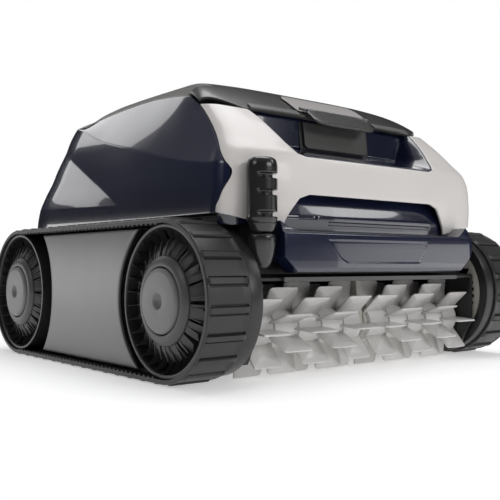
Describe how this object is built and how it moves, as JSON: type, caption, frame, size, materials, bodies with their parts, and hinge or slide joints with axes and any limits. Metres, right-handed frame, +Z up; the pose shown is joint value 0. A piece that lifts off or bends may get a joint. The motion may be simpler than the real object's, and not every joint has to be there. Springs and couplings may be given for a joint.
{
  "type": "robotic pool cleaner",
  "caption": "Tracked robotic pool cleaner with belt drives, geared front brushes, hinged lid with grip over a filter basket, and a cable strain relief.",
  "frame": {"origin": "on the ground, midway between the four wheels, at the bottom centre of the bounding box", "axes": "+X to the cleaner's right seen from behind the brushes (across the tracks), the brushes face -Y, +Z up"},
  "size_m": [0.456, 0.4758, 0.305],
  "materials": {
    "navy": "gloss",
    "pearl": "pearl gloss",
    "taupe": "satin",
    "smoke": "gloss",
    "light": "satin",
    "black": "satin",
    "gloss_black": "gloss",
    "belt": "matte",
    "wheel": "satin",
    "cap": "satin",
    "plate": "satin",
    "grey_bar": "satin",
    "paddle": "matte translucent white",
    "gear": "satin",
    "motor": "satin, potted",
    "mesh": "matte",
    "board": "satin, sealed box",
    "pin": "ground"
  },
  "bodies": {
    "chassis": {"axle_front_left": "pin", "axle_front_right": "pin", "axle_rear_left": "pin", "axle_rear_right": "pin", "brush_bearing": "gear", "cable_boot": "gloss_black", "cable_connector": "gloss_black", "chassis_deck": "black", "chassis_tray": "black", "control_box": "board", "drive_motor_left": "motor", "drive_motor_right": "motor", "filter_basket": "mesh", "float_block_left": "mesh", "float_block_right": "mesh", "frame_strip_left": "taupe", "frame_strip_right": "taupe", "front_bar": "grey_bar", "front_bumper": "navy", "front_hood": "pearl", "front_insert": "navy", "inlet_mouth": "black", "latch_recess": "black", "lid_hinge_pin": "pin", "outlet_grille": "black", "pump_motor": "motor", "rear_cover": "gloss_black", "side_panel_left": "navy", "side_panel_right": "navy", "side_plate_left": "plate", "side_plate_right": "plate", "track_belt_left": "belt", "track_belt_right": "belt", "upper_panel": "navy"},
    "wheel_front_left_body": {"wheel_front_left": "wheel", "hub_cap_front_left": "cap", "ring_gear_left": "gear"},
    "wheel_front_right_body": {"wheel_front_right": "wheel", "hub_cap_front_right": "cap", "ring_gear_right": "gear"},
    "wheel_rear_left_body": {"wheel_rear_left": "wheel", "hub_cap_rear_left": "cap"},
    "wheel_rear_right_body": {"wheel_rear_right": "wheel", "hub_cap_rear_right": "cap"},
    "brush_left_body": {"brush_left": "paddle", "brush_gear_left": "gear"},
    "brush_right_body": {"brush_right": "paddle", "brush_gear_right": "gear"},
    "pinion_left_body": {"motor_pinion_left": "gear"},
    "pinion_right_body": {"motor_pinion_right": "gear"},
    "lid_body": {"lid": "smoke", "lid_plate": "light", "lid_lip_left": "light", "lid_lip_right": "light", "grip_pin": "pin"},
    "grip_body": {"lid_grip": "smoke"},
    "impeller_body": {"impeller": "gear"},
    "flap_body": {"inlet_flap": "black"}
  },
  "joints": [
    {"name": "front_left_wheel_spin", "type": "hinge", "parent": "chassis", "child": "wheel_front_left_body", "pos_m": [-0.2, -0.163, 0.075], "axis": [1, 0, 0], "continuous": true},
    {"name": "rear_left_wheel_spin", "type": "hinge", "parent": "chassis", "child": "wheel_rear_left_body", "pos_m": [-0.2, 0.163, 0.075], "axis": [1, 0, 0], "continuous": true},
    {"name": "brush_left_spin", "type": "hinge", "parent": "chassis", "child": "brush_left_body", "pos_m": [-0.1, -0.18018, 0.04595], "axis": [1, 0, 0], "continuous": true},
    {"name": "motor_pinion_left_spin", "type": "hinge", "parent": "chassis", "child": "pinion_left_body", "pos_m": [-0.17, -0.13889, 0.10373], "axis": [1, 0, 0], "continuous": true},
    {"name": "front_right_wheel_spin", "type": "hinge", "parent": "chassis", "child": "wheel_front_right_body", "pos_m": [0.2, -0.163, 0.075], "axis": [1, 0, 0], "continuous": true},
    {"name": "rear_right_wheel_spin", "type": "hinge", "parent": "chassis", "child": "wheel_rear_right_body", "pos_m": [0.2, 0.163, 0.075], "axis": [1, 0, 0], "continuous": true},
    {"name": "brush_right_spin", "type": "hinge", "parent": "chassis", "child": "brush_right_body", "pos_m": [0.1, -0.18018, 0.04595], "axis": [1, 0, 0], "continuous": true},
    {"name": "motor_pinion_right_spin", "type": "hinge", "parent": "chassis", "child": "pinion_right_body", "pos_m": [0.17, -0.13889, 0.10373], "axis": [1, 0, 0], "continuous": true},
    {"name": "impeller_spin", "type": "hinge", "parent": "chassis", "child": "impeller_body", "pos_m": [0, 0.15, 0.115], "axis": [0, 0, 1], "continuous": true},
    {"name": "lid_hinge", "type": "hinge", "parent": "chassis", "child": "lid_body", "pos_m": [0, 0.12, 0.28797], "axis": [-1, 0, 0], "range_deg": [0, 80]},
    {"name": "grip_hinge", "type": "hinge", "parent": "lid_body", "child": "grip_body", "pos_m": [0, -0.15424, 0.27058], "axis": [-1, 0, 0], "range_deg": [0, 22], "stiffness_Nm_per_rad": 0.06},
    {"name": "inlet_flap_hinge", "type": "hinge", "parent": "chassis", "child": "flap_body", "pos_m": [0, -0.066, 0.0338], "axis": [1, 0, 0], "range_deg": [0, 65]}
  ],
  "couplings": [
    {"joint": "rear_left_wheel_spin", "follows": "front_left_wheel_spin", "ratio": 1},
    {"joint": "brush_left_spin", "follows": "front_left_wheel_spin", "ratio": 3.0769},
    {"joint": "motor_pinion_left_spin", "follows": "front_left_wheel_spin", "ratio": 4},
    {"joint": "rear_right_wheel_spin", "follows": "front_right_wheel_spin", "ratio": 1},
    {"joint": "brush_right_spin", "follows": "front_right_wheel_spin", "ratio": 3.0769},
    {"joint": "motor_pinion_right_spin", "follows": "front_right_wheel_spin", "ratio": 4}
  ]
}
